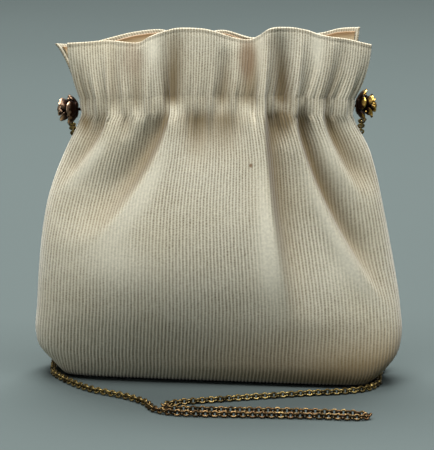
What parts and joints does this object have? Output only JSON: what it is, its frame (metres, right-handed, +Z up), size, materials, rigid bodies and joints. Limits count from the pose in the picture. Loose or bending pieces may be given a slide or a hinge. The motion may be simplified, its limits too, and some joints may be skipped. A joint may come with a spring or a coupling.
{
  "type": "gathered pouch purse with chain strap",
  "caption": "Ribbed cloth pouch purse with a flat boxed base, gathered casing, frilled mouth, metal rose findings at the sides and a chain strap laid in front.",
  "frame": {"origin": "middle of the flat base, on the surface that the purse stands on", "axes": "+Z up, -Y out of the front, +X to the right of a viewer in front"},
  "size_m": [0.2026, 0.1331, 0.1975],
  "materials": {
    "cloth": "ribbed matte cloth",
    "lining": "soft satin",
    "rose_metal": "antique gold",
    "chain_metal": "tarnished"
  },
  "bodies": {
    "root": {"pouch": "cloth", "front_lining": "lining", "back_lining": "lining", "left_rose": "rose_metal", "right_rose": "rose_metal", "chain": "chain_metal"}
  },
  "joints": []
}
